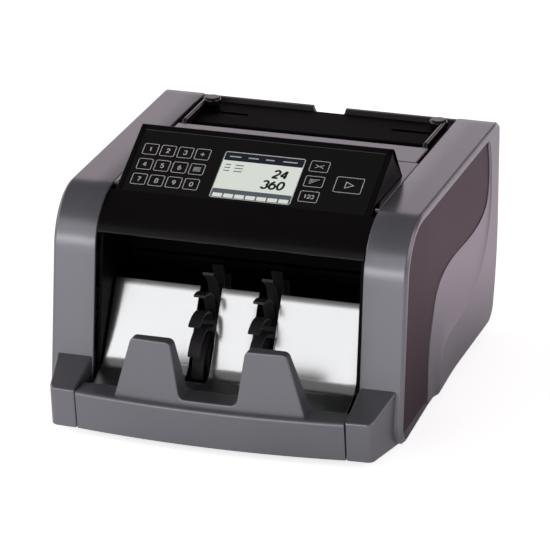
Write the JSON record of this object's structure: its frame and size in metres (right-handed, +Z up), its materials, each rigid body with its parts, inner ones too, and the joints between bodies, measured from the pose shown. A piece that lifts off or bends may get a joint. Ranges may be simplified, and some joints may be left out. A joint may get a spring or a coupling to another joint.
{
  "type": "banknote counter",
  "caption": "Desktop banknote counter with a rear hopper, tilted key panel with display, roller feed, finned stacker wheels and a steel front stacker between moulded side covers.",
  "frame": {"origin": "on the table under the middle of the footprint", "axes": "+X to the machine's right as seen from the front, +Y to the rear, +Z up; the front with the stop tabs faces -Y"},
  "size_m": [0.243, 0.2874, 0.1763],
  "materials": {
    "cheek_grey": "fine satin grain",
    "inlay_plum": "smooth matt",
    "base_grey": "fine grain",
    "cover_black": "satin black",
    "overlay_black": "gloss",
    "display_face": "semi gloss",
    "key_black": "gloss with printed outline",
    "board_green": "solder resist",
    "inner_black": "matt black",
    "stacker_steel": "bright brushed",
    "frame_black": "black coat",
    "bush_bronze": "sintered",
    "shaft_steel": "ground",
    "wheel_black": "smooth",
    "pulley_white": "natural",
    "roller_rubber": "ground rubber",
    "pinch_grey": "smooth",
    "separator_rubber": "ground rubber",
    "motor_can": "plated",
    "belt_rubber": "moulded",
    "inlet_black": "moulded",
    "foot_rubber": "moulded",
    "screw_steel": "zinc plated"
  },
  "bodies": {
    "chassis": {"left_cheek": "cheek_grey", "right_cheek": "cheek_grey", "left_inlay": "inlay_plum", "right_inlay": "inlay_plum", "base_tray": "base_grey", "front_bar": "cheek_grey", "front_cover": "cover_black", "panel_overlay": "overlay_black", "display_module": "display_face", "display_board": "board_green", "top_deck": "cheek_grey", "hopper_lip": "cheek_grey", "hopper_tray": "inner_black", "stacker_plate": "stacker_steel", "left_frame": "frame_black", "right_frame": "frame_black", "bearings": "bush_bronze", "separator_rollers": "separator_rubber", "inner_wall": "inner_black", "upper_guide": "inner_black", "motor": "motor_can", "drive_belts": "belt_rubber", "main_board": "board_green", "power_supply": "board_green", "power_inlet": "inlet_black", "feet": "foot_rubber", "screws": "screw_steel"},
    "stacker_rotor": {"stacker_shaft": "shaft_steel", "stacker_wheels": "wheel_black", "stacker_pulley": "pulley_white"},
    "feed_rotor": {"feed_shaft": "shaft_steel", "feed_rollers": "roller_rubber", "feed_pulley": "pulley_white"},
    "pickup_rotor": {"pickup_shaft": "pulley_white", "pickup_rollers": "roller_rubber"},
    "drive_rotor": {"drive_shaft": "shaft_steel", "drive_rollers": "roller_rubber", "drive_pulley": "pulley_white"},
    "pinch_rotor": {"pinch_rollers": "pinch_grey"},
    "motor_rotor": {"motor_pulley": "pulley_white"},
    "left_guide_slider": {"left_guide": "inner_black"},
    "right_guide_slider": {"right_guide": "inner_black"},
    "rear_door_leaf": {"rear_door": "base_grey"},
    "switch_rocker": {"power_switch": "inlet_black"},
    "key_1_cap": {"key_1": "key_black"},
    "key_2_cap": {"key_2": "key_black"},
    "key_3_cap": {"key_3": "key_black"},
    "key_4_cap": {"key_4": "key_black"},
    "key_5_cap": {"key_5": "key_black"},
    "key_6_cap": {"key_6": "key_black"},
    "key_7_cap": {"key_7": "key_black"},
    "key_8_cap": {"key_8": "key_black"},
    "key_9_cap": {"key_9": "key_black"},
    "key_0_cap": {"key_0": "key_black"},
    "key_add_cap": {"key_add": "key_black"},
    "key_batch_cap": {"key_batch": "key_black"},
    "key_mix_cap": {"key_mix": "key_black"},
    "key_sort_cap": {"key_sort": "key_black"},
    "key_count_cap": {"key_count": "key_black"},
    "key_start_cap": {"key_start": "key_black"}
  },
  "joints": [
    {"name": "drive_spin", "type": "hinge", "parent": "chassis", "child": "drive_rotor", "pos_m": [0, -0.00325, 0.086], "axis": [1, 0, 0], "continuous": true},
    {"name": "motor_spin", "type": "hinge", "parent": "chassis", "child": "motor_rotor", "pos_m": [0, 0.01875, 0.04], "axis": [1, 0, 0], "continuous": true},
    {"name": "feed_spin", "type": "hinge", "parent": "chassis", "child": "feed_rotor", "pos_m": [0, 0.07735, 0.0975], "axis": [1, 0, 0], "continuous": true},
    {"name": "pickup_spin", "type": "hinge", "parent": "chassis", "child": "pickup_rotor", "pos_m": [0, 0.09305, 0.1288], "axis": [1, 0, 0], "continuous": true},
    {"name": "stacker_spin", "type": "hinge", "parent": "chassis", "child": "stacker_rotor", "pos_m": [0, -0.06525, 0.06], "axis": [1, 0, 0], "continuous": true},
    {"name": "pinch_spin", "type": "hinge", "parent": "chassis", "child": "pinch_rotor", "pos_m": [0, -0.00325, 0.106], "axis": [1, 0, 0], "continuous": true},
    {"name": "right_guide_slide", "type": "slide", "parent": "chassis", "child": "right_guide_slider", "axis": [-1, 0, 0], "range_m": [0, 0.032]},
    {"name": "left_guide_slide", "type": "slide", "parent": "chassis", "child": "left_guide_slider", "axis": [1, 0, 0], "range_m": [0, 0.032]},
    {"name": "rear_door_hinge", "type": "hinge", "parent": "chassis", "child": "rear_door_leaf", "pos_m": [0, 0.13925, 0.052], "axis": [-1, 0, 0], "range_deg": [0, 75]},
    {"name": "switch_rock", "type": "hinge", "parent": "chassis", "child": "switch_rocker", "pos_m": [0.068, 0.13575, 0.025], "axis": [1, 0, 0], "range_deg": [0, 20]},
    {"name": "key_1_press", "type": "slide", "parent": "chassis", "child": "key_1_cap", "axis": [0, 0.4478, -0.8942], "range_m": [0, 0.0005], "stiffness_N_per_m": 2500},
    {"name": "key_2_press", "type": "slide", "parent": "chassis", "child": "key_2_cap", "axis": [0, 0.4478, -0.8942], "range_m": [0, 0.0005], "stiffness_N_per_m": 2500},
    {"name": "key_3_press", "type": "slide", "parent": "chassis", "child": "key_3_cap", "axis": [0, 0.4478, -0.8942], "range_m": [0, 0.0005], "stiffness_N_per_m": 2500},
    {"name": "key_4_press", "type": "slide", "parent": "chassis", "child": "key_4_cap", "axis": [0, 0.4478, -0.8942], "range_m": [0, 0.0005], "stiffness_N_per_m": 2500},
    {"name": "key_5_press", "type": "slide", "parent": "chassis", "child": "key_5_cap", "axis": [0, 0.4478, -0.8942], "range_m": [0, 0.0005], "stiffness_N_per_m": 2500},
    {"name": "key_6_press", "type": "slide", "parent": "chassis", "child": "key_6_cap", "axis": [0, 0.4478, -0.8942], "range_m": [0, 0.0005], "stiffness_N_per_m": 2500},
    {"name": "key_7_press", "type": "slide", "parent": "chassis", "child": "key_7_cap", "axis": [0, 0.4478, -0.8942], "range_m": [0, 0.0005], "stiffness_N_per_m": 2500},
    {"name": "key_8_press", "type": "slide", "parent": "chassis", "child": "key_8_cap", "axis": [0, 0.4478, -0.8942], "range_m": [0, 0.0005], "stiffness_N_per_m": 2500},
    {"name": "key_9_press", "type": "slide", "parent": "chassis", "child": "key_9_cap", "axis": [0, 0.4478, -0.8942], "range_m": [0, 0.0005], "stiffness_N_per_m": 2500},
    {"name": "key_0_press", "type": "slide", "parent": "chassis", "child": "key_0_cap", "axis": [0, 0.4478, -0.8942], "range_m": [0, 0.0005], "stiffness_N_per_m": 2500},
    {"name": "key_add_press", "type": "slide", "parent": "chassis", "child": "key_add_cap", "axis": [0, 0.4478, -0.8942], "range_m": [0, 0.0005], "stiffness_N_per_m": 2500},
    {"name": "key_batch_press", "type": "slide", "parent": "chassis", "child": "key_batch_cap", "axis": [0, 0.4478, -0.8942], "range_m": [0, 0.0005], "stiffness_N_per_m": 2500},
    {"name": "key_mix_press", "type": "slide", "parent": "chassis", "child": "key_mix_cap", "axis": [0, 0.4478, -0.8942], "range_m": [0, 0.0005], "stiffness_N_per_m": 2500},
    {"name": "key_sort_press", "type": "slide", "parent": "chassis", "child": "key_sort_cap", "axis": [0, 0.4478, -0.8942], "range_m": [0, 0.0005], "stiffness_N_per_m": 2500},
    {"name": "key_count_press", "type": "slide", "parent": "chassis", "child": "key_count_cap", "axis": [0, 0.4478, -0.8942], "range_m": [0, 0.0005], "stiffness_N_per_m": 2500},
    {"name": "key_start_press", "type": "slide", "parent": "chassis", "child": "key_start_cap", "axis": [0, 0.4478, -0.8942], "range_m": [0, 0.0005], "stiffness_N_per_m": 2500}
  ],
  "couplings": [
    {"joint": "motor_spin", "follows": "drive_spin", "ratio": 2},
    {"joint": "feed_spin", "follows": "drive_spin", "ratio": 0.4},
    {"joint": "pickup_spin", "follows": "drive_spin", "ratio": 0.45714},
    {"joint": "stacker_spin", "follows": "drive_spin", "ratio": 0.325},
    {"joint": "pinch_spin", "follows": "drive_spin", "ratio": -1}
  ]
}
